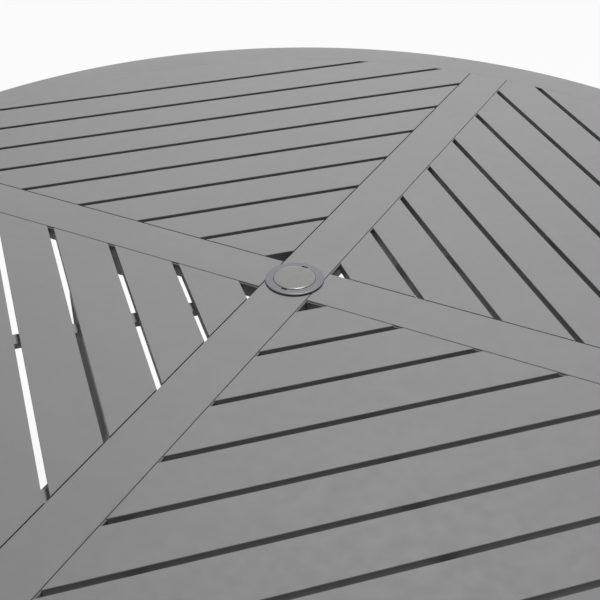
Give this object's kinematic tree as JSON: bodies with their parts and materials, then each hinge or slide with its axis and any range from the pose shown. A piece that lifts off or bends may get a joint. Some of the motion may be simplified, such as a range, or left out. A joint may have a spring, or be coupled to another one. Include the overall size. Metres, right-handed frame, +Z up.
{
  "type": "umbrella table",
  "caption": "Round slatted patio table with an umbrella hole, its lift-out cap, bent splayed legs and screw-in levelling glides.",
  "frame": {"origin": "on the floor under the centre of the round top, which is the umbrella hole's axis", "axes": "+Z up along the umbrella hole's axis; -Y is the front, and the slats run along X and Y while the rails and legs lie on the diagonals"},
  "size_m": [1.5238, 1.5238, 0.7416],
  "materials": {
    "frame_coat": "satin powder coat, warm mid grey",
    "leg_coat": "satin powder coat, warm mid grey",
    "ring_metal": "satin painted casting, cool grey",
    "cap_plastic": "moulded, fine matt, light grey",
    "black_plastic": "moulded, matt, near black",
    "zinc_steel": "zinc plated"
  },
  "bodies": {
    "table": {"rim_ring": "frame_coat", "rail_through": "frame_coat", "rail_back_left": "frame_coat", "rail_front_right": "frame_coat", "slat_back_1": "frame_coat", "slat_back_2": "frame_coat", "slat_back_3": "frame_coat", "slat_back_4": "frame_coat", "slat_back_5": "frame_coat", "slat_back_6": "frame_coat", "slat_back_7": "frame_coat", "slat_back_8": "frame_coat", "slat_back_9": "frame_coat", "slat_left_1": "frame_coat", "slat_left_2": "frame_coat", "slat_left_3": "frame_coat", "slat_left_4": "frame_coat", "slat_left_5": "frame_coat", "slat_left_6": "frame_coat", "slat_left_7": "frame_coat", "slat_left_8": "frame_coat", "slat_left_9": "frame_coat", "slat_front_1": "frame_coat", "slat_front_2": "frame_coat", "slat_front_3": "frame_coat", "slat_front_4": "frame_coat", "slat_front_5": "frame_coat", "slat_front_6": "frame_coat", "slat_front_7": "frame_coat", "slat_front_8": "frame_coat", "slat_front_9": "frame_coat", "slat_right_1": "frame_coat", "slat_right_2": "frame_coat", "slat_right_3": "frame_coat", "slat_right_4": "frame_coat", "slat_right_5": "frame_coat", "slat_right_6": "frame_coat", "slat_right_7": "frame_coat", "slat_right_8": "frame_coat", "slat_right_9": "frame_coat", "middle_braces": "frame_coat", "side_braces": "frame_coat", "hub_plate": "leg_coat", "umbrella_ring": "ring_metal", "ring_nut": "black_plastic", "leg_back_right": "leg_coat", "leg_back_left": "leg_coat", "leg_front_left": "leg_coat", "leg_front_right": "leg_coat", "leg_plugs": "black_plastic", "leg_end_caps": "black_plastic", "leg_bolts": "zinc_steel", "nut_plates": "zinc_steel", "hub_screws": "zinc_steel"},
    "cap": {"hole_cap": "cap_plastic"},
    "glide_back_right": {"glide_back_right": "black_plastic"},
    "glide_back_left": {"glide_back_left": "black_plastic"},
    "glide_front_left": {"glide_front_left": "black_plastic"},
    "glide_front_right": {"glide_front_right": "black_plastic"}
  },
  "joints": [
    {"name": "cap_lift", "type": "slide", "parent": "table", "child": "cap", "axis": [0, 0, 1], "range_m": [0, 0.15]},
    {"name": "glide_screw_back_right", "type": "slide", "parent": "table", "child": "glide_back_right", "axis": [0, 0, -1], "range_m": [0, 0.01]},
    {"name": "glide_screw_back_left", "type": "slide", "parent": "table", "child": "glide_back_left", "axis": [0, 0, -1], "range_m": [0, 0.01]},
    {"name": "glide_screw_front_left", "type": "slide", "parent": "table", "child": "glide_front_left", "axis": [0, 0, -1], "range_m": [0, 0.01]},
    {"name": "glide_screw_front_right", "type": "slide", "parent": "table", "child": "glide_front_right", "axis": [0, 0, -1], "range_m": [0, 0.01]}
  ]
}
